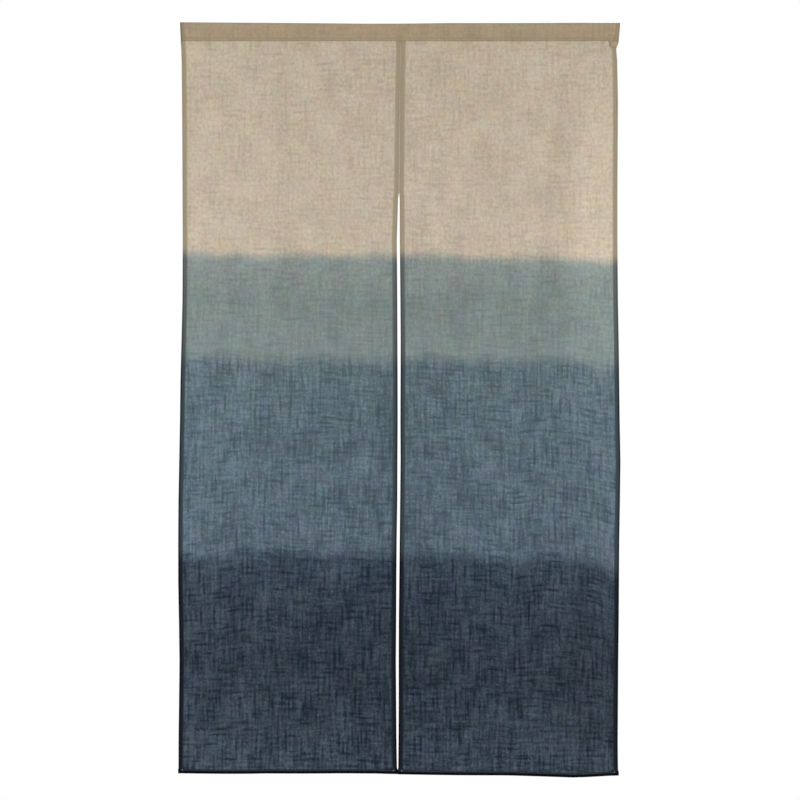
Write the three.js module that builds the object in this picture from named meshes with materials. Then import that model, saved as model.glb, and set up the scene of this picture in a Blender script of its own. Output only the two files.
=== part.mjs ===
// A noren: a split doorway curtain of two linen panels, dip-dyed in four bands from natural
// linen down to navy. The panels are seamed together at the top, fall apart in a slit below
// that, and hang from a heading whose rod pocket is open at both ends.
// Millimetres. X runs across the cloth, to the right as seen from the front. Y runs away from
// the viewer. Z is up. The origin is the middle of the heading's top edge.

import * as THREE from 'three';

// Driving dimensions

const NOREN_WIDTH = 880; // across the heading's top edge
const NOREN_DROP = 1500; // top edge to bottom hem, at the slit
const HEADING_HEIGHT = 35; // top edge to the stitch line that closes the rod pocket
const CLOTH = 1.1; // one layer of slub linen
const SIDE_HEM = 9; // width of the folded hem down both sides of a panel
const BOTTOM_HEM = 7.5; // height of the folded bottom hem
const SLIT_TOP = -341; // where the seam between the panels ends
const SEWN_GAP = 0.3; // between pieces that are sewn edge to edge
const POCKET_FRONT = 3; // how far the pocket stands forward of the panels' plane
const POCKET_BACK = 12; // how far it stands behind them

// Colours: the heading's two layers of undyed linen, and the mean of the panels' four bands

const UNDYED_DOUBLE = 0xa3947d;
const DIP_DYED = 0x79817f;

// Tables
// Each row of OUTLINE is a height. left and right are the panels' outer edges, slit is the
// middle of the seam or slit, and open is how wide it stands there. The top corners flare out
// to the heading's ends, and the bottom hems' corners stand out and just meet.

const OUTLINE = [
  { z: -35, left: -438.5, right: 437, slit: 1.7, open: SEWN_GAP },
  { z: -50, left: -437.5, right: 432.5, slit: 1.5, open: SEWN_GAP },
  { z: -75, left: -437, right: 434, slit: 1, open: SEWN_GAP },
  { z: -155, left: -436, right: 435, slit: -0.3, open: SEWN_GAP },
  { z: SLIT_TOP, left: -434.5, right: 434, slit: -2.2, open: SEWN_GAP },
  { z: -346, left: -434.5, right: 434, slit: -2.4, open: 3.6 },
  { z: -435, left: -434, right: 434, slit: -3.6, open: 6.2 },
  { z: -555, left: -434.5, right: 435, slit: -2.6, open: 7.5 },
  { z: -635, left: -436.5, right: 436.5, slit: -2.2, open: 7.8 },
  { z: -715, left: -438.5, right: 437.5, slit: -2.1, open: 7.1 },
  { z: -795, left: -439.5, right: 438.5, slit: -2.2, open: 6.7 },
  { z: -875, left: -441, right: 440, slit: -2.3, open: 7.6 },
  { z: -955, left: -442.5, right: 439, slit: -2.9, open: 7 },
  { z: -1035, left: -443, right: 437.5, slit: -3.9, open: 7.4 },
  { z: -1115, left: -443, right: 437, slit: -4.7, open: 7 },
  { z: -1195, left: -441.5, right: 436.5, slit: -5.3, open: 6.5 },
  { z: -1275, left: -440.5, right: 435.5, slit: -5.7, open: 6.8 },
  { z: -1355, left: -441.5, right: 435, slit: -5.4, open: 6.3 },
  { z: -1435, left: -442.5, right: 434.5, slit: -5.3, open: 5.3 },
  { z: -1490, left: -442.5, right: 435, slit: -5.1, open: 3.6 },
  { z: -1500, left: -444, right: 438, slit: -5.1, open: SEWN_GAP },
];

// top is the heading's upper edge, and bottom how far the bottom hem lies below NOREN_DROP.

const LEVELS = [
  { x: -440, top: 2.8, bottom: -1.6 },
  { x: -200, top: 1.2, bottom: -0.6 },
  { x: -70, top: 0, bottom: 0 },
  { x: 0, top: 0.1, bottom: 0.6 },
  { x: 100, top: 1.2, bottom: 1.6 },
  { x: 240, top: 1.3, bottom: 4.2 },
  { x: 345, top: 1.7, bottom: 6.2 },
  { x: 440, top: 1.5, bottom: 2.8 },
];

// Soft vertical folds. One runs from (x, z) to (toX, toZ), is a quarter as deep as depth at wide
// to either side, and fades out over fade at its ends. A depth below 0 stands forward, as a ridge.

const LEFT_FOLDS = [
  { x: -330, z: -1100, toX: -345, toZ: -1500, wide: 120, fade: 700, depth: -7 },
  { x: -120, z: -1150, toX: -105, toZ: -1500, wide: 100, fade: 600, depth: 6 },
  { x: -395, z: -420, toX: -400, toZ: -1150, wide: 32, fade: 220, depth: -3.2 },
  { x: -255, z: -300, toX: -265, toZ: -1500, wide: 42, fade: 320, depth: 3 },
  { x: -62, z: -560, toX: -48, toZ: -1260, wide: 30, fade: 220, depth: 2.4 },
  { x: -98, z: -1380, toX: -52, toZ: -1500, wide: 24, fade: 110, depth: 2.6 },
];

const RIGHT_FOLDS = [
  { x: 110, z: -1000, toX: 95, toZ: -1500, wide: 110, fade: 700, depth: -6 },
  { x: 225, z: -1050, toX: 215, toZ: -1500, wide: 70, fade: 500, depth: 6 },
  { x: 345, z: -1180, toX: 345, toZ: -1500, wide: 70, fade: 420, depth: -7 },
  { x: 386, z: -110, toX: 382, toZ: -780, wide: 20, fade: 130, depth: -3.2 },
  { x: 332, z: -110, toX: 252, toZ: -760, wide: 26, fade: 140, depth: 3 },
  { x: 224, z: -110, toX: 222, toZ: -320, wide: 16, fade: 110, depth: -1.4 },
  { x: 412, z: -1350, toX: 415, toZ: -1470, wide: 18, fade: 100, depth: 2.6 },
];

// How the hems, the pocket's foot and the hang are made

const HEM_STEP = 0.8; // the fold's edge, where the cloth goes from two layers to one
const FOOT_SEAM = 3; // height of the stitching that joins the pocket's two walls
const HELD_FLAT = 160; // below the heading, how far down its stitching keeps folds from forming
const LEVEL_DOWN_TO = 1200; // below this the rows of the weave bend to the bottom hem's curve
const PANEL_TOP = -HEADING_HEIGHT - SEWN_GAP;

// Rows of faces down a panel, each stretch as { to: height, rows }. They are close where the
// outline turns quickly: at the top corners, the slit's top and the bottom hem.

const STRETCHES = [
  { to: -50, rows: 1 },
  { to: -75, rows: 2 },
  { to: SLIT_TOP, rows: 7 },
  { to: -346, rows: 1 },
  { to: -1470, rows: 30 },
  { to: -NOREN_DROP + BOTTOM_HEM + HEM_STEP, rows: 1 },
  { to: -NOREN_DROP + BOTTOM_HEM, rows: 1 },
  { to: -NOREN_DROP, rows: 1 },
];
const PANEL_COLUMNS = 18;
const HEADING_STATIONS = 18;
const POCKET_POINTS = 9; // along each wall of the pocket's section

// A table's column at a place, on a smooth curve through its rows that never swings past them.
// key is the table's first column, which may run up or down.

function at(table, key, column, place) {
  const last = table.length - 1;
  const rising = table[last][key] > table[0][key];
  const found = table.findIndex((row) => (rising ? row[key] > place : row[key] < place));
  const next = found < 0 ? last : Math.max(found, 1);
  const steep = (i) => (table[i][column] - table[i - 1][column]) / (table[i][key] - table[i - 1][key]);
  const slope = (i) => {
    const before = steep(Math.max(i, 1));
    const after = steep(Math.min(i + 1, last));
    return before * after > 0 ? (2 * before * after) / (before + after) : 0;
  };
  const [a, b] = [table[next - 1], table[next]];
  const span = b[key] - a[key];
  const t = THREE.MathUtils.clamp((place - a[key]) / span, 0, 1);
  const [t2, t3] = [t * t, t * t * t];
  return (
    (2 * t3 - 3 * t2 + 1) * a[column] +
    (t3 - 2 * t2 + t) * span * slope(next - 1) +
    (3 * t2 - 2 * t3) * b[column] +
    (t3 - t2) * span * slope(next)
  );
}

// How far a panel's folds carry the cloth back at a place.

function foldDepth(folds, x, z) {
  const settle = THREE.MathUtils.smoothstep(PANEL_TOP - z, 0, HELD_FLAT);
  return folds.reduce((sum, fold) => {
    const down = THREE.MathUtils.clamp((fold.z - z) / (fold.z - fold.toZ), 0, 1);
    const aside = (x - THREE.MathUtils.lerp(fold.x, fold.toX, down)) / fold.wide;
    const past = Math.max(z - fold.z, fold.toZ - z, 0) / fold.fade;
    const fading = 1 - THREE.MathUtils.smoothstep(past, 0, 1);
    return sum + (fold.depth * fading * settle) / (1 + aside * aside) ** 2;
  }, 0);
}

// Heights of a panel's rows, from its top to its bottom edge.

function rowHeights() {
  const heights = [PANEL_TOP];
  for (const { to, rows } of STRETCHES) {
    const from = heights[heights.length - 1];
    for (let i = 1; i <= rows; i += 1) heights.push(THREE.MathUtils.lerp(from, to, i / rows));
  }
  return heights;
}

// A panel is a box one face thick, with its grid of faces laid out over the outline. side is -1
// for the left panel and 1 for the right. Each hem has a column or a row of its own, and is a
// second layer on the cloth's back.

function panelGeometry(side, folds) {
  const heights = rowHeights();
  const rows = heights.length - 1;
  const geometry = new THREE.BoxGeometry(1, 1, 1, PANEL_COLUMNS, 1, rows);
  const grid = geometry.attributes.position;
  for (let i = 0; i < grid.count; i += 1) {
    const column = Math.round((grid.getX(i) + 0.5) * PANEL_COLUMNS);
    const row = Math.round((0.5 - grid.getZ(i)) * rows);
    const back = grid.getY(i) > 0;
    const height = heights[row];
    const slitHalf = at(OUTLINE, 'z', 'open', height) / 2;
    const slit = at(OUTLINE, 'z', 'slit', height);
    const low = side < 0 ? at(OUTLINE, 'z', 'left', height) : slit + slitHalf;
    const high = side < 0 ? slit - slitHalf : at(OUTLINE, 'z', 'right', height);
    const plain = (column - 2) / (PANEL_COLUMNS - 4); // across the single layer between the hems
    let x = THREE.MathUtils.lerp(low + SIDE_HEM + HEM_STEP, high - SIDE_HEM - HEM_STEP, plain);
    if (column < 2) x = low + column * SIDE_HEM;
    if (column > PANEL_COLUMNS - 2) x = high - (PANEL_COLUMNS - column) * SIDE_HEM;
    const lower = at(LEVELS, 'x', 'bottom', x);
    const z = height - lower * THREE.MathUtils.smoothstep(-height, LEVEL_DOWN_TO, NOREN_DROP);
    const hemmed = column < 2 || column > PANEL_COLUMNS - 2 || row > rows - 2;
    const layers = hemmed ? 2 : 1;
    const y = foldDepth(folds, x, z) - CLOTH / 2 + (back ? layers * CLOTH : 0);
    grid.setXYZ(i, x, y, z);
  }
  geometry.computeVertexNormals();
  return geometry;
}

// One wall of the pocket's section, as points (y, height) from its foot to its top. The section
// is a teardrop: straight at the stitched foot, fullest two thirds of the way up, round on top.

function pocketWall(depth, foot, top) {
  const FULLEST = 2 / 3;
  const full = FULLEST * Math.sqrt(1 - FULLEST);
  return Array.from({ length: POCKET_POINTS }, (_, i) => {
    const up = (1 - Math.cos((Math.PI * i) / (POCKET_POINTS - 1))) / 2;
    const y = (depth * up * Math.sqrt(1 - up)) / full;
    return new THREE.Vector2(y, THREE.MathUtils.lerp(foot, top, up));
  });
}

// The heading is a sleeve: the teardrop section with its hollow, drawn along X. Its two walls
// are stitched together over FOOT_SEAM at the bottom, and its ends lean in a little.

function headingGeometry() {
  const outer = (depth) => pocketWall(depth, -HEADING_HEIGHT, 0);
  const front = outer(-POCKET_FRONT).map(({ x, y }) => new THREE.Vector2(x - CLOTH, y));
  const back = outer(POCKET_BACK).map(({ x, y }) => new THREE.Vector2(x + CLOTH, y));
  const section = new THREE.Shape([...back, ...front.reverse()]);
  const hollowFoot = -HEADING_HEIGHT + FOOT_SEAM;
  const hollowBack = pocketWall(POCKET_BACK, hollowFoot, -CLOTH);
  const hollowFront = pocketWall(-POCKET_FRONT, hollowFoot, -CLOTH).slice(1, -1);
  section.holes.push(new THREE.Path([...hollowBack, ...hollowFront.reverse()]));
  const length = { depth: 1, steps: HEADING_STATIONS, bevelEnabled: false };
  const geometry = new THREE.ExtrudeGeometry(section, length);
  const grid = geometry.attributes.position;
  for (let i = 0; i < grid.count; i += 1) {
    const along = grid.getZ(i);
    const height = grid.getY(i);
    const rise = THREE.MathUtils.clamp((height + HEADING_HEIGHT) / HEADING_HEIGHT, 0, 1);
    const left = THREE.MathUtils.lerp(OUTLINE[0].left, -NOREN_WIDTH / 2, rise);
    const right = THREE.MathUtils.lerp(OUTLINE[0].right, NOREN_WIDTH / 2, rise);
    const x = THREE.MathUtils.lerp(left, right, along);
    grid.setXYZ(i, x, grid.getX(i), height + at(LEVELS, 'x', 'top', x) * rise);
  }
  geometry.computeVertexNormals();
  return geometry;
}

// The sewn pieces

function linen(color) {
  return new THREE.MeshStandardMaterial({ color, roughness: 0.9, metalness: 0 });
}

function piece(name, geometry, color) {
  const mesh = new THREE.Mesh(geometry, linen(color));
  mesh.name = name;
  return mesh;
}

const noren = new THREE.Group();
noren.add(piece('heading', headingGeometry(), UNDYED_DOUBLE));
noren.add(piece('panel_left', panelGeometry(-1, LEFT_FOLDS), DIP_DYED));
noren.add(piece('panel_right', panelGeometry(1, RIGHT_FOLDS), DIP_DYED));

export default noren;
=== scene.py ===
import math

import bmesh
import bpy
import numpy as np
from mathutils import Matrix, Vector, noise


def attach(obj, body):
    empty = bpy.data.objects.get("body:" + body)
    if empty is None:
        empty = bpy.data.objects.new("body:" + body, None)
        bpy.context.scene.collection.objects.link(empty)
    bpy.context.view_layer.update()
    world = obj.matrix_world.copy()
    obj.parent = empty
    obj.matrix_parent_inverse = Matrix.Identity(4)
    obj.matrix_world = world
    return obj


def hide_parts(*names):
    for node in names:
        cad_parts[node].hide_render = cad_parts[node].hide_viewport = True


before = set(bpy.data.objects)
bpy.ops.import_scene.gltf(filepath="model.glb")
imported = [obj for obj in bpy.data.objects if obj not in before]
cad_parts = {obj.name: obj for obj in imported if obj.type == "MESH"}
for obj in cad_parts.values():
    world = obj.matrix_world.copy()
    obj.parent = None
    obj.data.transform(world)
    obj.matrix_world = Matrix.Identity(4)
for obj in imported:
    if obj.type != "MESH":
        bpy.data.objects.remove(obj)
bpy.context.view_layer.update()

# The two dyed panels
# Each is one width of slub linen in a plain weave. Both sides and the foot are turned in twice
# and stitched, then the cloth is let down into the dye step by step, so that it goes from
# natural through grey-blue and slate to navy. The top is caught between the heading's walls.

MM = 0.001
DROP = 1500  # the heading's top edge to the foot of the hems, at the slit
CLOTH = 0.5  # thickness of the linen
LAYER = 0.6  # from one folded layer to the next
SIDE_HEM = 9
FOOT_HEM = 7.5
TUCKED_IN = 5  # how far a panel's top edge reaches up between the heading's walls
HEADING_FOOT = 34.4
SLIT_TOP = -341

# The panels' edges by height, in mm: the outer edges, and the middle and width of the slit.
# Each hem's rounded fold takes up 0.65 of that width, so above SLIT_TOP the two of them touch,
# and towards the seam's end they part by a hair.
EDGES = [
    {"z": -1500, "left": -444, "right": 437.2, "slit": -5.1, "open": 0.05},
    {"z": -1496, "left": -443.4, "right": 436.4, "slit": -5.1, "open": 0.05},
    {"z": -1492, "left": -442.7, "right": 435.6, "slit": -5.1, "open": 1.3},
    {"z": -1488, "left": -442.5, "right": 435, "slit": -5.1, "open": 3.9},
    {"z": -1435, "left": -442.5, "right": 434.5, "slit": -5.3, "open": 5.3},
    {"z": -1355, "left": -441.5, "right": 435, "slit": -5.4, "open": 6.3},
    {"z": -1275, "left": -440.5, "right": 435.5, "slit": -5.7, "open": 6.8},
    {"z": -1195, "left": -441.5, "right": 436.5, "slit": -5.3, "open": 6.5},
    {"z": -1115, "left": -443, "right": 437, "slit": -4.7, "open": 7},
    {"z": -1035, "left": -443, "right": 437.5, "slit": -3.9, "open": 7.4},
    {"z": -955, "left": -442.5, "right": 439, "slit": -2.9, "open": 7},
    {"z": -875, "left": -441, "right": 440, "slit": -2.3, "open": 7.6},
    {"z": -795, "left": -439.5, "right": 438.5, "slit": -2.2, "open": 6.7},
    {"z": -715, "left": -438.5, "right": 437.5, "slit": -2.1, "open": 7.1},
    {"z": -635, "left": -436.5, "right": 436.5, "slit": -2.2, "open": 7.8},
    {"z": -555, "left": -434.5, "right": 435, "slit": -2.6, "open": 7.5},
    {"z": -435, "left": -434, "right": 434, "slit": -3.6, "open": 7.2},
    {"z": -346, "left": -434.5, "right": 434, "slit": -2.4, "open": 4.4},
    {"z": SLIT_TOP, "left": -434.5, "right": 434, "slit": -2.2, "open": 1.55},
    {"z": -240, "left": -435, "right": 434.5, "slit": -1.2, "open": 1.45},
    {"z": -155, "left": -435.6, "right": 435, "slit": -0.3, "open": 1.3},
    {"z": -75, "left": -436.4, "right": 433.6, "slit": 1, "open": 1.3},
    {"z": -50, "left": -437.2, "right": 431.6, "slit": 1.5, "open": 1.3},
    {"z": -35, "left": -438.5, "right": 437, "slit": 1.7, "open": 1.3},
]

# How far the foot hangs below DROP, across the noren.
FOOT_LEVEL = [
    {"x": -440, "low": -1.6},
    {"x": -200, "low": -0.6},
    {"x": -70, "low": 0},
    {"x": 0, "low": 0.6},
    {"x": 100, "low": 1.6},
    {"x": 240, "low": 4.2},
    {"x": 345, "low": 6.2},
    {"x": 440, "low": 2.8},
]
LEVEL_ABOVE = 0.8  # down to this share of the drop the cloth hangs level

# Creases and folds, in mm. Each runs from (x, z) to (to_x, to_z), is a quarter as deep as deep
# at wide to either side, and fades out over fade at its ends. A deep below 0 is a ridge.
LEFT_CREASES = [
    {"x": -330, "z": -1100, "to_x": -345, "to_z": -1500, "wide": 120, "fade": 700, "deep": -7},
    {"x": -120, "z": -1150, "to_x": -105, "to_z": -1500, "wide": 100, "fade": 600, "deep": 6},
    {"x": -418, "z": -420, "to_x": -420, "to_z": -1150, "wide": 38, "fade": 220, "deep": -4},
    {"x": -255, "z": -300, "to_x": -265, "to_z": -1500, "wide": 42, "fade": 320, "deep": 3},
    {"x": -62, "z": -560, "to_x": -48, "to_z": -1260, "wide": 30, "fade": 220, "deep": 2.4},
    {"x": -98, "z": -1380, "to_x": -52, "to_z": -1500, "wide": 24, "fade": 110, "deep": 2.6},
    {"x": -372, "z": -90, "to_x": -330, "to_z": -340, "wide": 16, "fade": 120, "deep": 0.7},
    {"x": -190, "z": -760, "to_x": -160, "to_z": -1010, "wide": 14, "fade": 130, "deep": -0.6},
]
RIGHT_CREASES = [
    {"x": 110, "z": -1000, "to_x": 95, "to_z": -1500, "wide": 110, "fade": 700, "deep": -6},
    {"x": 225, "z": -1050, "to_x": 215, "to_z": -1500, "wide": 70, "fade": 500, "deep": 6},
    {"x": 356, "z": -1180, "to_x": 362, "to_z": -1500, "wide": 78, "fade": 420, "deep": -7},
    {"x": 366, "z": -120, "to_x": 338, "to_z": -640, "wide": 46, "fade": 160, "deep": -6.4},
    {"x": 318, "z": -110, "to_x": 240, "to_z": -760, "wide": 26, "fade": 140, "deep": 3.2},
    {"x": 222, "z": -110, "to_x": 220, "to_z": -320, "wide": 16, "fade": 110, "deep": -1.6},
    {"x": 310, "z": -190, "to_x": 306, "to_z": -215, "wide": 20, "fade": 45, "deep": 2},
    {"x": 412, "z": -1350, "to_x": 415, "to_z": -1470, "wide": 18, "fade": 100, "deep": 2.6},
    {"x": 96, "z": -520, "to_x": 70, "to_z": -800, "wide": 15, "fade": 120, "deep": 0.7},
]
HELD_FLAT = 160  # below the heading its stitching keeps folds from forming

# The slight cockle that slub linen keeps after washing, in mm: broad dents and small ones.
COCKLE = [
    {"wide": 70, "tall": 110, "deep": 0.5, "seed": 3},
    {"wide": 24, "tall": 40, "deep": 0.22, "seed": 8},
]

# Where each dip left its line, by height, across the noren. They are nearly level, and the
# last runs down to the right.
DIP_LINES = [
    {"x": -440, "first": -459, "second": -664, "third": -1068},
    {"x": -360, "first": -463, "second": -667, "third": -1061},
    {"x": -310, "first": -464, "second": -674, "third": -1050},
    {"x": -220, "first": -465, "second": -674, "third": -1057},
    {"x": -160, "first": -464, "second": -667, "third": -1060},
    {"x": -40, "first": -464, "second": -676, "third": -1062},
    {"x": 30, "first": -465, "second": -667, "third": -1061},
    {"x": 110, "first": -466, "second": -672, "third": -1064},
    {"x": 190, "first": -468, "second": -674, "third": -1068},
    {"x": 225, "first": -468, "second": -674, "third": -1076},
    {"x": 280, "first": -470, "second": -674, "third": -1066},
    {"x": 340, "first": -473, "second": -676, "third": -1073},
    {"x": 390, "first": -474, "second": -687, "third": -1084},
    {"x": 440, "first": -474, "second": -687, "third": -1106},
]
FIRST_DIP, SECOND_DIP, THIRD_DIP = -466, -672, -1066  # the same lines, drawn level

COLUMNS = 84
ROWS = 296
SIDE_HEM_COLUMNS = [0, 0.8, 4.5, SIDE_HEM]  # in mm from a side edge
FOOT_HEM_ROWS = [FOOT_HEM, 4, 0.8, 0]  # in mm above the foot

# A hem turned in twice, as steps of (inward, back) in mm: round the fold, across the back, and
# the raw edge turned under between the two layers, to stop short of the fold.
TURN_ROUND = [(-0.3, 0.2), (-0.1, 0.4), (0.1, 0.4), (0.3, 0.2)]
TURN_UNDER = [(0.2, -0.3), (-0.2, -0.3)]
RAW_EDGE = 1.5

# The foot's hem is shaded as a side hem is, but with more of its fold's dark: a height above the
# foot, and the distance from a side edge that has the same shade.
FOOT_SHADED = [
    {"up": 0, "inward": 0},
    {"up": 4, "inward": 1.6},
    {"up": FOOT_HEM, "inward": 7},
    {"up": FOOT_HEM + 5, "inward": 30},
]


def read(table, key, column, place):
    """A table's column at a place, on straight lines between its rows."""
    return float(np.interp(place, [row[key] for row in table], [row[column] for row in table]))


def smooth(value, low, high):
    """0 at low and 1 at high, with soft ends."""
    t = min(max((value - low) / (high - low), 0), 1)
    return t * t * (3 - 2 * t)


def hang(creases, x, z):
    """How far back of its own plane the cloth hangs, in mm: its creases and its cockle."""
    back = 0
    for crease in creases:
        down = min(max((crease["z"] - z) / (crease["z"] - crease["to_z"]), 0), 1)
        middle = crease["x"] + (crease["to_x"] - crease["x"]) * down
        past = max(z - crease["z"], crease["to_z"] - z, 0) / crease["fade"]
        aside = (x - middle) / crease["wide"]
        back += crease["deep"] * (1 - smooth(past, 0, 1)) / (1 + aside * aside) ** 2
    cockle = 0
    for dent in COCKLE:
        place = (x / dent["wide"], z / dent["tall"], dent["seed"])
        cockle += dent["deep"] * noise.noise(place)
    return (back + cockle) * smooth(-HEADING_FOOT - z, 0, HELD_FLAT)


def edges_at(side, height):
    """A panel's two edges at a height. side is -1 for the left panel and 1 for the right."""
    slit, gap = read(EDGES, "z", "slit", height), read(EDGES, "z", "open", height) / 2
    if side < 0:
        return read(EDGES, "z", "left", height), slit - gap
    return slit + gap, read(EDGES, "z", "right", height)


def lowered(x, height):
    """A height with the foot's own level worked in."""
    low = read(FOOT_LEVEL, "x", "low", x)
    return height - low * smooth(-height, LEVEL_ABOVE * DROP, DROP)


def dip_height(x, z):
    """The height, in mm, with the cloth stretched so that the dips' lines lie level."""
    lines = [read(DIP_LINES, "x", dip, x) for dip in ("third", "second", "first")]
    return float(np.interp(z, [-DROP, *lines, 0], [-DROP, THIRD_DIP, SECOND_DIP, FIRST_DIP, 0]))


def turn_in(bm, edge, steps, inward):
    """Folds an edge of the cloth over, with a row of faces for each (inward, back) step."""
    for far, back in steps:
        made = bmesh.ops.extrude_edge_only(bm, edges=edge)["geom"]
        verts = {part for part in made if isinstance(part, bmesh.types.BMVert)}
        edge = [e for e in made if isinstance(e, bmesh.types.BMEdge) and set(e.verts) <= verts]
        move = inward * far * MM + Vector((0, back * MM, 0))
        bmesh.ops.translate(bm, verts=list(verts), vec=move)


def lay_out(bm, flat_of, from_edge_of):
    """Gives the cloth its flat layout, in metres across and down, and each point's distance
    from the nearest hemmed edge, in mm, for the dye and the hems' shade."""
    flat = bm.loops.layers.uv.new("cloth")
    from_edge = bm.verts.layers.float.new("from_edge")
    for v in bm.verts:
        v[from_edge] = from_edge_of(v)
        across, down = flat_of(v)
        for loop in v.link_loops:
            loop[flat].uv = (across * MM, down * MM)
    for face in bm.faces:
        face.smooth = True


def sewn_piece(name, bm, material):
    """An object from its bmesh, in its place, riding on the part."""
    mesh = bpy.data.meshes.new(name)
    bm.to_mesh(mesh)
    bm.free()
    mesh.materials.append(material)
    made = bpy.data.objects.new(name, mesh)
    bpy.context.scene.collection.objects.link(made)
    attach(made, "root")
    return made


def thicken(piece):
    """Gives a sheet the linen's thickness, half to each side."""
    solid = piece.modifiers.new("cloth thickness", "SOLIDIFY")
    solid.thickness = CLOTH * MM
    solid.offset = 0
    solid.use_even_offset = True


def panel(name, side, creases, material):
    """One panel with its three hems."""
    bm = bmesh.new()
    bmesh.ops.create_grid(bm, x_segments=COLUMNS, y_segments=ROWS, size=0.5)
    rows_at = [0, 1, ROWS - 3, ROWS - 2, ROWS - 1, ROWS]
    heights = [TUCKED_IN - HEADING_FOOT, -HEADING_FOOT - 0.2]
    heights += [up - DROP for up in FOOT_HEM_ROWS]
    columns_at = [0, 1, 2, 3, COLUMNS - 3, COLUMNS - 2, COLUMNS - 1, COLUMNS]
    left, right, foot = [], [], []
    for v in bm.verts:
        column, row = round((v.co.x + 0.5) * COLUMNS), round((0.5 - v.co.y) * ROWS)
        height = float(np.interp(row, rows_at, heights))
        low, high = edges_at(side, height)
        hem_lines = [low + inward for inward in SIDE_HEM_COLUMNS]
        hem_lines += [high - inward for inward in SIDE_HEM_COLUMNS[::-1]]
        x = float(np.interp(column, columns_at, hem_lines))
        z = lowered(x, height)
        v.co = Vector((x, hang(creases, x, z), z)) * MM
        if row == ROWS:
            foot.append(v)
        if -HEADING_FOOT > height > FOOT_HEM - DROP - 1:
            if column == 0:
                left.append(v)
            if column == COLUMNS:
                right.append(v)
    for verts, inward, wide in (
        (left, Vector((1, 0, 0)), SIDE_HEM),
        (right, Vector((-1, 0, 0)), SIDE_HEM),
        (foot, Vector((0, 0, 1)), FOOT_HEM),
    ):
        edge = [e for e in bm.edges if e.is_boundary and set(e.verts) <= set(verts)]
        steps = [*TURN_ROUND, (wide, 0), *TURN_UNDER, (RAW_EDGE - wide, 0)]
        turn_in(bm, edge, steps, inward)

    def flat_of(v):
        return v.co.x / MM, dip_height(v.co.x / MM, v.co.z / MM)

    def from_edge_of(v):
        x, z = v.co.x / MM, v.co.z / MM
        low, high = edges_at(side, z)
        up = z + DROP + read(FOOT_LEVEL, "x", "low", x)
        return max(min(x - low, high - x, read(FOOT_SHADED, "up", "inward", up)), 0)

    lay_out(bm, flat_of, from_edge_of)
    made = sewn_piece(name, bm, material)
    thicken(made)
    return made


# Dip-dyed slub linen: undyed flax in a plain weave, piece-dyed by dipping. Thick and thin yarns
# give it dark dashes both ways with pale gaps between, and each dip deepens the dye. It is matt,
# and thin enough for the light behind to brighten it, so the hems' three layers look darker.
# Shades by dipped height in mm: the cloth's open weave, its slubs, and the hems' inner part and
# outer fold. These are darker partly where the dye gathers and partly as painted shade for the
# light that the hems' layers hold back.
DYED = [
    {"z": 0, "open": "#cfc5b3", "slub": "#bbae9c", "hem": "#b2a487", "fold": "#ac9e82"},
    {"z": -455, "open": "#d5cbbb", "slub": "#c2b6a5", "hem": "#b3a58c", "fold": "#ad9f87"},
    {"z": -477, "open": "#a3aca8", "slub": "#8b9491", "hem": "#6a7172", "fold": "#4c5154"},
    {"z": -560, "open": "#98a4a1", "slub": "#818c8a", "hem": "#656c6d", "fold": "#484e51"},
    {"z": -656, "open": "#9eaaa9", "slub": "#859190", "hem": "#61696b", "fold": "#44494d"},
    {"z": -688, "open": "#8697a0", "slub": "#586a71", "hem": "#4a5860", "fold": "#232c31"},
    {"z": -780, "open": "#8295a0", "slub": "#53656d", "hem": "#46545c", "fold": "#20292e"},
    {"z": -1053, "open": "#7e909d", "slub": "#4d5e6a", "hem": "#404d57", "fold": "#1a2227"},
    {"z": -1078, "open": "#5f6f7e", "slub": "#293747", "hem": "#1e2733", "fold": "#000308"},
    {"z": -1130, "open": "#5a6876", "slub": "#222f40", "hem": "#1d2632", "fold": "#000307"},
    {"z": -1280, "open": "#545f6d", "slub": "#1a2836", "hem": "#1a222d", "fold": "#000205"},
    {"z": -1500, "open": "#62707f", "slub": "#212f3e", "hem": "#1e2530", "fold": "#000307"},
]

# The yarns are 0.5 to 1 mm thick, too fine to show from the camera, so their marks are drawn
# about four times as coarse. Slubs are dark dashes, and where the weave opens there are pale
# dots: one of them to a patch of this size in mm, and how dark or pale it is on undyed and on
# dyed cloth.
SLUBS = [
    {"across": 10, "down": 84, "undyed": -0.4, "dyed": -0.44},  # in the warp
    {"across": 66, "down": 10, "undyed": -0.45, "dyed": -0.44},  # in the weft
    {"across": 9, "down": 8, "undyed": 0.1, "dyed": 0.34},  # open spots
]
# The rest of the weave is cloudy: the size of its clouds, how much they show, and their detail.
CLOUDS = [
    {"across": 5.4, "down": 54, "undyed": 0.52, "dyed": 0.72, "detail": 1},  # the warp's yarns
    {"across": 42, "down": 6.0, "undyed": 0.52, "dyed": 0.53, "detail": 1},  # the weft's yarns
    {"across": 5.8, "down": 7.0, "undyed": 1.36, "dyed": 0.60, "detail": 1},  # yarns' crossings
    {"across": 50, "down": 62, "undyed": 0.5, "dyed": 0.3, "detail": 0},  # uneven weaving
]
DASH_EDGE, DASH_HEART = 0.38, 0.06  # a dash darkens between these distances, as shares of its patch
WEAVE_TONE = 0.53  # between 0, the dark of a slub, and 1, the pale of the open weave
PAINTED_LIGHT_OUTWARD = 0.18  # painted light added to it towards the noren's two outer edges, for the extra light there
SHARPENED = 1.5  # on dyed cloth the pale spots are few and small, and stand out from the dark

# How far the dye wicks up single yarns and bundles of them, in mm, which feathers its lines.
WICKING = [
    {"across": 5, "climb": 6},
    {"across": 48, "climb": 12},
]
WICK_LENGTH = 125  # along a yarn, to where it takes up more or less

# The dye and the flax both vary a little in hue, by patches of this size in mm.
HUE_PATCH = {"across": 30, "down": 36}
HUE_DRIFT = 0.08
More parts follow.
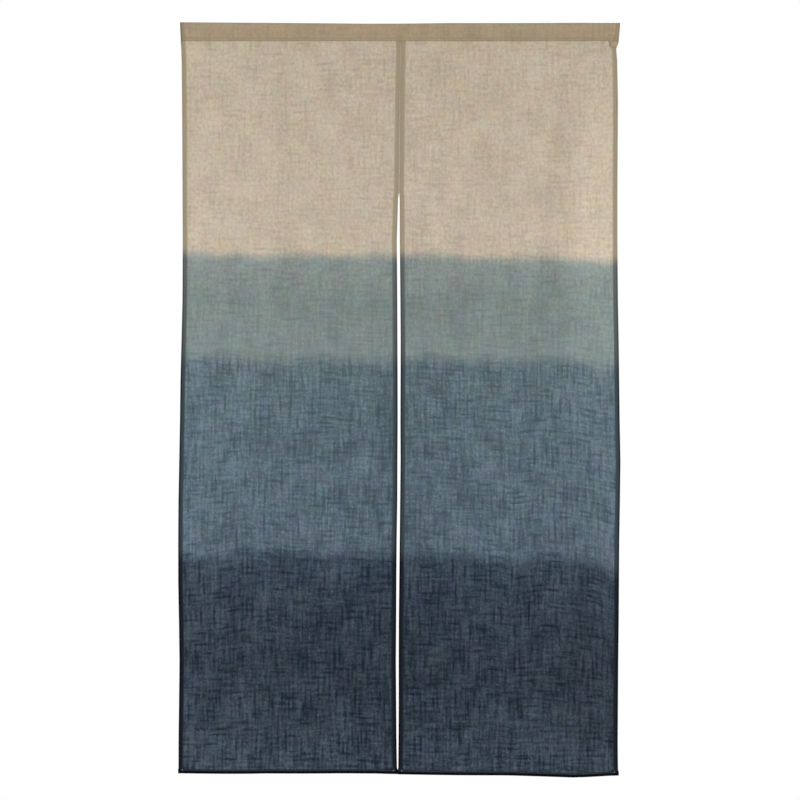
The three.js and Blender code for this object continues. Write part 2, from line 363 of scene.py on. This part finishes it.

# Near its right edge the cloth is paler in the upper bands and darker in the navy. This is partly
# dye, less of the first dyes and more of the last, and partly painted light and shade of the folds
# there.
# That comes in between two x, and each row adds its share of paler cloth, bit by bit, between two
# heights.
RIGHT_EDGE = {"from_x": 290, "to_x": 380}
RIGHT_DYE_AND_SHADE = [
    {"from_z": -60, "to_z": -560, "paler": 0.12},
    {"from_z": -560, "to_z": -1400, "paler": -0.38},
]
FOLD_SHADE = (0.8, 3.6)  # mm from the edge over which a hem's dark fold turns to its inner shade
HEM_SHADE = (8.0, 9.8)  # and over which the hem gives way to the single cloth
SHEER_HEM = 0.14  # share of the single cloth's weave that shows in an undyed hem
SPOT_DARKEST = 0.6  # share of a hem's shade at the heart of a darker spot
LET_THROUGH = 0.5  # share of the light that a face of the cloth sends on through
NOREN_HALF = 440


def linear(shade):
    """The linear colour of an sRGB hex value."""
    parts = [int(shade[i : i + 2], 16) / 255 for i in (1, 3, 5)]
    return [*[p / 12.92 if p <= 0.04045 else ((p + 0.055) / 1.055) ** 2.4 for p in parts], 1]


def add_node(tree, kind, settings, inputs):
    """One node with its settings, each input given a value or another node's output."""
    made = tree.nodes.new(kind)
    for key, value in settings.items():
        setattr(made, key, value)
    for key, value in inputs.items():
        if isinstance(value, bpy.types.NodeSocket):
            tree.links.new(value, made.inputs[key])
        else:
            made.inputs[key].default_value = value
    return made


def shades_down(tree, dipped, shades, part):
    """The shade of one part of the cloth by how far down it is, from 0 to 1."""
    ramp = add_node(tree, "ShaderNodeValToRGB", {}, {"Fac": dipped})
    stops = ramp.color_ramp.elements
    for row in shades[2:]:
        stops.new(row["z"] / -DROP)
    for stop, row in zip(stops, shades):
        stop.position = row["z"] / -DROP
        stop.color = linear(row[part])
    return ramp.outputs[0]


def linen(name, shades, dark_spots):
    """Slub linen in the shades of a table, from its flat layout. Each darker spot is (across,
    down, reach) in mm."""
    material = bpy.data.materials.new(name)
    material.use_nodes = True
    tree = material.node_tree
    tree.nodes.clear()
    flat = add_node(tree, "ShaderNodeUVMap", {"uv_map": "cloth"}, {}).outputs["UV"]
    place = add_node(tree, "ShaderNodeSeparateXYZ", {}, {"Vector": flat}).outputs
    noise_2d = {"noise_dimensions": "2D"}
    clouds = {"Scale": 1, "Detail": 0, "Roughness": 0.5}

    # How deep in the dye each point hung, from 0 to 1.
    height = place[1]
    for yarns in WICKING:
        size = (1 / (yarns["across"] * MM), 1 / (WICK_LENGTH * MM), 1)
        columns = {"Vector": flat, "Scale": size}
        columns = add_node(tree, "ShaderNodeMapping", {}, columns).outputs[0]
        cloud = add_node(tree, "ShaderNodeTexNoise", noise_2d, {"Vector": columns, **clouds})
        level = {0: cloud.outputs[0], 1: yarns["climb"] * MM, 2: -yarns["climb"] * MM / 2}
        shift = add_node(tree, "ShaderNodeMath", {"operation": "MULTIPLY_ADD"}, level).outputs[0]
        add = {0: height, 1: shift}
        height = add_node(tree, "ShaderNodeMath", {"operation": "ADD"}, add).outputs[0]
    depth = {0: height, 1: -DROP * MM}
    dipped = add_node(tree, "ShaderNodeMath", {"operation": "DIVIDE"}, depth).outputs[0]

    # The weave's tone, with every slub, open spot and cloud laid over it.
    # Painted light: the tone grows paler towards the noren's two outer edges.
    out = {0: place[0], 1: 1 / (NOREN_HALF * MM)}
    outward = add_node(tree, "ShaderNodeMath", {"operation": "MULTIPLY"}, out).outputs[0]
    out = {0: outward, 1: outward}
    outward = add_node(tree, "ShaderNodeMath", {"operation": "MULTIPLY"}, out).outputs[0]
    tone = {0: outward, 1: PAINTED_LIGHT_OUTWARD, 2: WEAVE_TONE}
    weave = add_node(tree, "ShaderNodeMath", {"operation": "MULTIPLY_ADD"}, tone).outputs[0]
    soft = {"interpolation_type": "SMOOTHSTEP"}
    for marks in [*SLUBS, *CLOUDS]:
        size = (1 / (marks["across"] * MM), 1 / (marks["down"] * MM), 1)
        drawn = {"Vector": flat, "Scale": size}
        drawn = add_node(tree, "ShaderNodeMapping", {}, drawn).outputs[0]
        if marks in SLUBS:
            patch = {"Vector": drawn, "Scale": 1}
            patch = add_node(tree, "ShaderNodeTexVoronoi", {"voronoi_dimensions": "2D"}, patch)
            dash = {"Value": patch.outputs["Distance"]}
            dash |= {"From Min": DASH_EDGE, "From Max": DASH_HEART}
            dash = add_node(tree, "ShaderNodeMapRange", soft, dash).outputs[0]
            uneven = {0: dash, 1: patch.outputs["Color"]}
            level = add_node(tree, "ShaderNodeMath", {"operation": "MULTIPLY"}, uneven)
        else:
            broken = {**clouds, "Vector": drawn, "Detail": marks["detail"], "Distortion": 0.4}
            cloud = add_node(tree, "ShaderNodeTexNoise", noise_2d, broken).outputs[0]
            level = add_node(tree, "ShaderNodeMath", {"operation": "SUBTRACT"}, {0: cloud, 1: 0.5})
        dyed = {"Value": dipped, "From Min": FIRST_DIP / -DROP, "From Max": SECOND_DIP / -DROP}
        dyed |= {"To Min": marks["undyed"], "To Max": marks["dyed"]}
        strength = add_node(tree, "ShaderNodeMapRange", {}, dyed).outputs[0]
        add = {0: level.outputs[0], 1: strength, 2: weave}
        weave = add_node(tree, "ShaderNodeMath", {"operation": "MULTIPLY_ADD"}, add).outputs[0]
    dyed |= {"To Min": 1, "To Max": SHARPENED}
    sharp = {0: weave, 1: add_node(tree, "ShaderNodeMapRange", {}, dyed).outputs[0]}
    weave = add_node(tree, "ShaderNodeMath", {"operation": "POWER"}, sharp).outputs[0]

    # The single cloth's colour.
    open_weave = shades_down(tree, dipped, shades, "open")
    slubs = shades_down(tree, dipped, shades, "slub")
    mixed = {"data_type": "RGBA"}
    cloth = add_node(tree, "ShaderNodeMix", mixed, {0: weave, 6: slubs, 7: open_weave}).outputs[2]
    size = (1 / (HUE_PATCH["across"] * MM), 1 / (HUE_PATCH["down"] * MM), 1)
    patches = {"Vector": flat, "Scale": size}
    patches = add_node(tree, "ShaderNodeMapping", {}, patches).outputs[0]
    hues = add_node(tree, "ShaderNodeTexNoise", noise_2d, {**clouds, "Vector": patches})
    drift = {0: HUE_DRIFT, 6: cloth, 7: hues.outputs[1]}
    over = {"data_type": "RGBA", "blend_type": "SOFT_LIGHT"}
    cloth = add_node(tree, "ShaderNodeMix", over, drift).outputs[2]
    # Painted light and shade of the right edge's folds, together with its uneven dye.
    dye_and_fold_shade = []
    for row in RIGHT_DYE_AND_SHADE:
        span = {"From Min": row["from_z"] / -DROP, "From Max": row["to_z"] / -DROP}
        paler = {"Value": dipped, **span, "To Max": row["paler"]}
        dye_and_fold_shade.append(add_node(tree, "ShaderNodeMapRange", {}, paler).outputs[0])
    dye_and_fold_shade = add_node(tree, "ShaderNodeMath", {"operation": "ADD"}, {0: dye_and_fold_shade[0], 1: dye_and_fold_shade[1]})
    span = {"From Min": RIGHT_EDGE["from_x"] * MM, "From Max": RIGHT_EDGE["to_x"] * MM}
    near_right = {"Value": place[0], **span}
    near_right = add_node(tree, "ShaderNodeMapRange", soft, near_right).outputs[0]
    bright = {0: near_right, 1: dye_and_fold_shade.outputs[0], 2: 1}
    bright = add_node(tree, "ShaderNodeMath", {"operation": "MULTIPLY_ADD"}, bright).outputs[0]
    cloth = {0: cloth, "Scale": bright}
    cloth = add_node(tree, "ShaderNodeVectorMath", {"operation": "SCALE"}, cloth).outputs[0]

    # The hems, by how far in from the edge they are, and the darker spots.
    near = add_node(tree, "ShaderNodeAttribute", {"attribute_name": "from_edge"}, {}).outputs["Fac"]
    past_fold = {"Value": near, "From Min": FOLD_SHADE[0], "From Max": FOLD_SHADE[1]}
    past_fold = add_node(tree, "ShaderNodeMapRange", soft, past_fold).outputs[0]
    past_hem = {"Value": near, "From Min": HEM_SHADE[0], "From Max": HEM_SHADE[1]}
    past_hem = add_node(tree, "ShaderNodeMapRange", soft, past_hem).outputs[0]
    # Painted shade for the light the hems' layers hold back, with the dye gathered there, darkens
    # the hems and most of all their outer fold.
    hem = {0: past_fold}
    hem[6] = shades_down(tree, dipped, shades, "fold")
    hem[7] = shades_down(tree, dipped, shades, "hem")
    hem = add_node(tree, "ShaderNodeMix", mixed, hem).outputs[2]
    dyed |= {"To Min": SHEER_HEM, "To Max": 0}
    showing = add_node(tree, "ShaderNodeMapRange", {}, dyed).outputs[0]
    hem = add_node(tree, "ShaderNodeMix", mixed, {0: showing, 6: hem, 7: cloth}).outputs[2]
    shade = add_node(tree, "ShaderNodeMix", mixed, {0: past_hem, 6: hem, 7: cloth}).outputs[2]
    for across, down, reach in dark_spots:
        spot = {0: flat, 1: (across * MM, down * MM, 0)}
        far = add_node(tree, "ShaderNodeVectorMath", {"operation": "DISTANCE"}, spot)
        fade = {"Value": far.outputs["Value"], "From Min": reach * MM, "From Max": reach * MM / 3}
        fade |= {"To Min": 0, "To Max": SPOT_DARKEST}
        fade = add_node(tree, "ShaderNodeMapRange", soft, fade).outputs[0]
        shade = add_node(tree, "ShaderNodeMix", mixed, {0: fade, 6: shade, 7: hem}).outputs[2]

    bump = {"Strength": 0.6, "Distance": 0.3 * MM, "Height": weave}
    relief = add_node(tree, "ShaderNodeBump", {}, bump).outputs[0]
    matt = {"Base Color": shade, "Roughness": 0.92, "Specular IOR Level": 0.2, "Normal": relief}
    face = add_node(tree, "ShaderNodeBsdfPrincipled", {}, matt).outputs[0]
    through = add_node(tree, "ShaderNodeBsdfTranslucent", {}, {"Color": shade}).outputs[0]
    both = {0: LET_THROUGH, 1: face, 2: through}
    both = add_node(tree, "ShaderNodeMixShader", {}, both).outputs[0]
    add_node(tree, "ShaderNodeOutputMaterial", {}, {"Surface": both})
    return material


# A darker spot on the left panel, just under the heading.
dip_dyed_linen = linen("dip_dyed_linen", DYED, [(-384, -41, 9)])
left_panel = panel("left_panel", -1, LEFT_CREASES, dip_dyed_linen)
right_panel = panel("right_panel", 1, RIGHT_CREASES, dip_dyed_linen)
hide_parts("panel_left")
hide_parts("panel_right")

# Spun linen thread, run by machine before the dips, so that it has taken the same shades. Its
# twist shows as fine slanting ridges. It stands a little proud of the cloth and looks paler.
STITCH = 2.6
PITCH = 3.4  # 7 or 8 stitches to the inch
THREAD = 0.45
TWIST = 0.5  # from one ridge of the thread's twist to the next
PROUD = CLOTH / 2 + 0.1  # from the middle of the cloth out to the middle of a stitch
HEM_STITCHED = 7.6  # from the edge to the line of stitches
FOOT_STITCHED = FOOT_HEM - 1.2  # the same, up from the foot
FIRST_STITCH = 4  # below the heading's foot
LOCK = {"reach": 1.8, "apart": 0.9}  # a row's end, sewn over twice
THREAD_SHADES = [
    {"z": 0, "spun": "#bcae94"},
    {"z": -40, "spun": "#bcae94"},
    {"z": -50, "spun": "#cbbea6"},
    {"z": -455, "spun": "#c8bba4"},
    {"z": -478, "spun": "#868f8d"},
    {"z": -655, "spun": "#818b89"},
    {"z": -690, "spun": "#5c6b73"},
    {"z": -1045, "spun": "#57666f"},
    {"z": -1090, "spun": "#363f4a"},
    {"z": -1486, "spun": "#39414d"},
    {"z": -1491, "spun": "#6d737d"},  # the lock stitches' knots take up less dye
]
sewing_thread = bpy.data.materials.new("sewing_thread")
sewing_thread.use_nodes = True
tree = sewing_thread.node_tree
tree.nodes.clear()
spot = add_node(tree, "ShaderNodeTexCoord", {}, {}).outputs["Object"]
rise = add_node(tree, "ShaderNodeSeparateXYZ", {}, {"Vector": spot}).outputs[2]
depth = {0: rise, 1: -DROP * MM}
dipped = add_node(tree, "ShaderNodeMath", {"operation": "DIVIDE"}, depth).outputs[0]
spun = shades_down(tree, dipped, THREAD_SHADES, "spun")
slant = {"Vector": spot, "Rotation": (0, math.radians(35), 0)}
slant = add_node(tree, "ShaderNodeMapping", {}, slant).outputs[0]
ridges = {"Vector": slant, "Scale": 1 / (TWIST * MM), "Distortion": 0.3}
ply = add_node(tree, "ShaderNodeTexWave", {"bands_direction": "X"}, ridges).outputs[1]
bump = {"Strength": 0.5, "Distance": 0.08 * MM, "Height": ply}
relief = add_node(tree, "ShaderNodeBump", {}, bump).outputs[0]
matt = {"Base Color": spun, "Roughness": 0.75, "Sheen Weight": 0.15, "Normal": relief}
face = add_node(tree, "ShaderNodeBsdfPrincipled", {}, matt).outputs[0]
add_node(tree, "ShaderNodeOutputMaterial", {}, {"Surface": face})


bm = bmesh.new()
bmesh.ops.create_icosphere(bm, subdivisions=1, radius=1)
bead = bpy.data.meshes.new("bead")
bm.to_mesh(bead)
bm.free()


def stitch(bm, start, end, thick=THREAD):
    """One stitch, a rounded bead of thread from start to end, in mm."""
    run = Vector(end) - Vector(start)
    size = Matrix.Diagonal((run.length / 2, thick / 2, thick / 2, 1))
    turn = run.to_track_quat("X", "Z").to_matrix().to_4x4()
    middle = Matrix.Translation((Vector(start) + Vector(end)) / 2)
    laid = bead.copy()
    laid.transform(Matrix.Scale(MM, 4) @ middle @ turn @ size)
    bm.from_mesh(laid)
    bpy.data.meshes.remove(laid)


def hem_stitches(name, side, creases):
    """The rows of stitches down both sides of a panel and along its foot, on both faces."""
    bm = bmesh.new()

    def on_cloth(x, height, off):
        z = lowered(x, height)
        return x, hang(creases, x, z) + off, z

    for off in (-PROUD, 2 * LAYER + PROUD):
        for height in np.arange(-HEADING_FOOT - FIRST_STITCH, FOOT_HEM - DROP, -PITCH):
            upper, lower = edges_at(side, height), edges_at(side, height - STITCH)
            for end, inward in ((0, HEM_STITCHED), (1, -HEM_STITCHED)):
                top = on_cloth(upper[end] + inward, height, off)
                stitch(bm, top, on_cloth(lower[end] + inward, height - STITCH, off))
        height = FOOT_STITCHED - DROP
        low, high = edges_at(side, height)
        for x in np.arange(low + SIDE_HEM, high - SIDE_HEM, PITCH):
            stitch(bm, on_cloth(x, height, off), on_cloth(x + STITCH, height, off))
        for x in (low + HEM_STITCHED, high - HEM_STITCHED):
            for up in (height, height + LOCK["apart"]):
                start = on_cloth(x - LOCK["reach"], up, off)
                stitch(bm, start, on_cloth(x + LOCK["reach"], up, off), 2 * THREAD)
    return sewn_piece(name, bm, sewing_thread)


left_stitches = hem_stitches("left_hem_stitches", -1, LEFT_CREASES)
right_stitches = hem_stitches("right_hem_stitches", 1, RIGHT_CREASES)

# The heading
# A strip of the same linen, undyed, folded lengthwise round the rod's place and sewn through
# both panels. Its long edges are turned in, so five layers lie together along its foot, and
# the corner of its turned-in right end has slipped out below.

HEADING_WIDTH = 880
POCKET_FRONT = 3.2  # how far the pocket's walls stand from the panels' plane
POCKET_BACK = 12.4
FOOT_SEAM = 31  # from the top edge down to the row of stitches that closes the pocket
TURNED_UP = 7  # the strip's edges, turned up inside
ALONG = 150
WALL = 12
TOP_LEVEL = [
    {"x": -440, "up": 2.6},
    {"x": -200, "up": 1.0},
    {"x": -70, "up": -0.2},
    {"x": 0, "up": -0.1},
    {"x": 100, "up": 1.0},
    {"x": 240, "up": 1.1},
    {"x": 345, "up": 1.5},
    {"x": 440, "up": 1.3},
]
SLIPPED_OUT = {"from_x": 417.6, "to_x": 433.2, "foot": -48.6, "slant": 1.6}
SLIPPED_FRONT = -0.65  # how far the slipped corner lies in front, over the panel's hem
SLIPPED_EDGE = 0.35  # and how far its inner edge and its foot sink back
PRESSED_ROW_SHADE = 8.7  # painted shade along the pressed row of stitches, where the cloth sinks: a hem's shade at this distance from its edge


def turned_edge(sign):
    """The section of one turned-in edge as (y, z) in mm, from its raw edge down to the foot."""
    down = [(sign * LAYER, z - HEADING_FOOT) for z in (TURNED_UP, 3, 0.5)]
    return [*down, (sign * 1.5 * LAYER, 0.25 - HEADING_FOOT)]


def pocket_wall(depth, sign):
    """The section of one wall from the foot to the top edge: flat up to the row of stitches,
    then round the rod's place in the shape of a drop."""
    fullest = (2 / 3) * math.sqrt(1 / 3)
    wall = [(sign * 2 * LAYER, 0.5 - HEADING_FOOT)]
    for i in range(WALL + 1):
        up = (1 - math.cos(math.pi * i / WALL)) / 2
        out = 2 * LAYER * (1 - up) + depth * up * math.sqrt(1 - up) / fullest
        wall.append((sign * out, -FOOT_SEAM * (1 - up)))
    return wall


front, back = pocket_wall(POCKET_FRONT, -1), pocket_wall(POCKET_BACK, 1)
section = [*turned_edge(-1), *front, *back[-2::-1], *turned_edge(1)[::-1]]
girth = np.cumsum([0, *[math.dist(a, b) for a, b in zip(section, section[1:])]])
girth -= girth[len(turned_edge(-1))] + HEADING_FOOT  # so that the front reads as its height
bm = bmesh.new()
sleeve = {"x_segments": ALONG, "y_segments": len(section) - 1, "size": 0.5}
sleeve = bmesh.ops.create_grid(bm, **sleeve)["verts"]
tab = bmesh.ops.create_grid(bm, x_segments=6, y_segments=6, size=0.5)["verts"]
bm.verts.index_update()
spread = {}
for v in sleeve:
    along, step = v.co.x + 0.5, round((v.co.y + 0.5) * (len(section) - 1))
    y, z = section[step]
    rise = (z + HEADING_FOOT) / HEADING_FOOT
    left = EDGES[-1]["left"] * (1 - rise) - HEADING_WIDTH / 2 * rise
    right = EDGES[-1]["right"] * (1 - rise) + HEADING_WIDTH / 2 * rise
    x = left + (right - left) * along
    dent = 0.5 * noise.noise((x / 55, z / 20, y / 20)) * smooth(z, -FOOT_SEAM, -20)
    v.co = Vector((x, y + dent, z + read(TOP_LEVEL, "x", "up", x) * rise)) * MM
    end = HEADING_WIDTH * min(along, 1 - along)
    # Painted shade along the sunk row of stitches, and the turned-in ends' hem shade.
    spread[v.index] = (x, girth[step], min(end, PRESSED_ROW_SHADE + 0.3 * abs(z + FOOT_SEAM - 1)))
for v in tab:
    across, down = v.co.x + 0.5, 0.5 - v.co.y
    wide = SLIPPED_OUT["to_x"] - SLIPPED_OUT["from_x"]
    x = SLIPPED_OUT["from_x"] + wide * across + SLIPPED_OUT["slant"] * down * (1 - across)
    z = 0.4 - HEADING_FOOT + (SLIPPED_OUT["foot"] + HEADING_FOOT) * down * (0.9 + 0.1 * across)
    sunk = SLIPPED_EDGE if across < 0.01 or down > 0.99 else 0
    v.co = Vector((x, 0.1 * down + SLIPPED_FRONT + sunk, z)) * MM
    spread[v.index] = (x, z, 20 - 10.9 * down)
lay_out(bm, lambda v: spread[v.index][:2], lambda v: spread[v.index][2])

# The same slub linen, undyed and in more layers, so it looks darker and browner than the panels;
# its shades are also set darker, as painted shade for the light its layers hold back.
UNDYED = [
    {"z": 0, "open": "#c3b195", "slub": "#b4a388", "hem": "#aa9b80", "fold": "#968a6e"},
    {"z": -DROP, "open": "#c3b195", "slub": "#b4a388", "hem": "#aa9b80", "fold": "#968a6e"},
]
# Painted shade at the heading's middle, where the panels' hems reach up behind it.
natural_linen = linen("natural_linen", UNDYED, [(0.5, -29, 8)])
heading_sleeve = sewn_piece("heading_sleeve", bm, natural_linen)
thicken(heading_sleeve)
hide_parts("heading")

bm = bmesh.new()
for off in (-2 * LAYER - PROUD, 2 * LAYER + PROUD):
    for x in np.arange(EDGES[-1]["left"] + 3, EDGES[-1]["right"] - 4, PITCH):
        stitch(bm, (x, off, -FOOT_SEAM), (x + STITCH, off, -FOOT_SEAM))
heading_stitches = sewn_piece("heading_stitches", bm, sewing_thread)

# The seam between the panels
# Above the slit the two hemmed edges are butted and whipped together by hand with the same
# thread, and a bar of close stitches keeps the slit's top from tearing.

HAND_THREAD = 1.4 * THREAD  # two strands together
# The whipping lies close, so its pale thread also stands in for painted light: the light that comes
# through the gap between the butted hems.
WHIPPED = {"pitch": 2.6, "reach": 2.2, "rise": 1, "proud": 0.12}
BAR = {"pitch": 0.5, "reach": 3, "rise": -0.2, "proud": 0.15}
bm = bmesh.new()
for sewn, top, foot in (
    (WHIPPED, -HEADING_FOOT - 5, SLIT_TOP + 4),
    (BAR, SLIT_TOP + 1.2, SLIT_TOP - 1),
):
    for z in np.arange(top, foot, -sewn["pitch"]):
        middle = read(EDGES, "z", "slit", z)
        front = hang(LEFT_CREASES, middle, z) - CLOTH / 2 - sewn["proud"]
        start = (middle - sewn["reach"], front, z)
        stitch(bm, start, (middle + sewn["reach"], front, z + sewn["rise"]), HAND_THREAD)
sewn_piece("seam_stitches", bm, sewing_thread)

# The room
# A pale plaster floor below the noren, white all round, and daylight from the right, which shows
# the folds. Two soft lights in front and one behind, which shines through the cloth, fill it in.

FLOOR_DOWN = 1.95
FLOOR_RADIUS = 2.4
bm = bmesh.new()
bmesh.ops.create_circle(bm, cap_ends=True, segments=128, radius=FLOOR_RADIUS)
bmesh.ops.translate(bm, verts=bm.verts, vec=(0, 0, -FLOOR_DOWN))
floor_mesh = bpy.data.meshes.new("floor")
bm.to_mesh(floor_mesh)
bm.free()
floor = bpy.data.objects.new("floor", floor_mesh)
bpy.context.scene.collection.objects.link(floor)
plaster = bpy.data.materials.new("pale_plaster")
plaster.use_nodes = True
tree = plaster.node_tree
tree.nodes.clear()
spot = add_node(tree, "ShaderNodeTexCoord", {}, {}).outputs["Object"]
cloud = add_node(tree, "ShaderNodeTexNoise", {}, {"Vector": spot, "Scale": 6, "Detail": 3})
tones = {0: cloud.outputs[0], 6: linear("#e9e7e3"), 7: linear("#f1efec")}
tone = add_node(tree, "ShaderNodeMix", {"data_type": "RGBA"}, tones).outputs[2]
matt = {"Base Color": tone, "Roughness": 0.8}
face = add_node(tree, "ShaderNodeBsdfPrincipled", {}, matt).outputs[0]
add_node(tree, "ShaderNodeOutputMaterial", {}, {"Surface": face})
floor_mesh.materials.append(plaster)

MIDDLE = Vector((0, 0, -0.75))
SOFTBOXES = [
    {"name": "left_softbox", "at": Vector((-2.4, -2.9, 0.5)), "wide": 1.8, "watts": 30},
    {"name": "right_softbox", "at": Vector((2.6, -2.7, 0.3)), "wide": 1.8, "watts": 14},
    {"name": "back_softbox", "at": Vector((1.2, 3.4, 0.6)), "wide": 2.0, "watts": 36},
]
for box in SOFTBOXES:
    lamp = bpy.data.lights.new(box["name"], "AREA")
    lamp.shape = "DISK"
    lamp.size = box["wide"]
    lamp.energy = box["watts"]
    shone = bpy.data.objects.new(box["name"], lamp)
    shone.location = box["at"]
    shone.rotation_euler = (MIDDLE - box["at"]).to_track_quat("-Z", "Y").to_euler()
    shone.visible_camera = False
    bpy.context.scene.collection.objects.link(shone)

DAYLIGHT = 2.3
DAY_SOFT = 30  # degrees of the sky that it comes from
DAY_GOES = Vector((-1.1, 1, -0.12))
day = bpy.data.lights.new("daylight", "SUN")
day.energy = DAYLIGHT
day.angle = math.radians(DAY_SOFT)
shone = bpy.data.objects.new("daylight", day)
shone.rotation_euler = DAY_GOES.to_track_quat("-Z", "Y").to_euler()
bpy.context.scene.collection.objects.link(shone)

ROOM_FILL = 0.62  # light from the white walls, which the camera sees at full white
sky = bpy.data.worlds.new("white_studio")
sky.use_nodes = True
tree = sky.node_tree
tree.nodes.clear()
seen = add_node(tree, "ShaderNodeLightPath", {}, {}).outputs["Is Camera Ray"]
wall = {"Color": (1, 1, 1, 1), "Strength": 1}
wall = add_node(tree, "ShaderNodeBackground", {}, wall).outputs[0]
fill = {"Color": (1, 1, 1, 1), "Strength": ROOM_FILL}
fill = add_node(tree, "ShaderNodeBackground", {}, fill).outputs[0]
both = add_node(tree, "ShaderNodeMixShader", {}, {0: seen, 1: fill, 2: wall}).outputs[0]
add_node(tree, "ShaderNodeOutputWorld", {}, {"Surface": both})
bpy.context.scene.world = sky
bpy.context.scene.view_settings.view_transform = "Standard"

# The camera: level with the noren's middle, square on and 5 m off, taking in 1.6 m.

SEEN_WIDTH = 1.6
AWAY = 5
AIM_X, AIM_Z = -0.0003, -0.7526
camera = bpy.data.cameras.new("camera")
camera.sensor_width = 36
camera.lens = camera.sensor_width * AWAY / SEEN_WIDTH
view = bpy.data.objects.new("camera", camera)
view.location = (AIM_X, -AWAY, AIM_Z)
view.rotation_euler = (math.pi / 2, 0, 0)
bpy.context.scene.collection.objects.link(view)
bpy.context.scene.camera = view
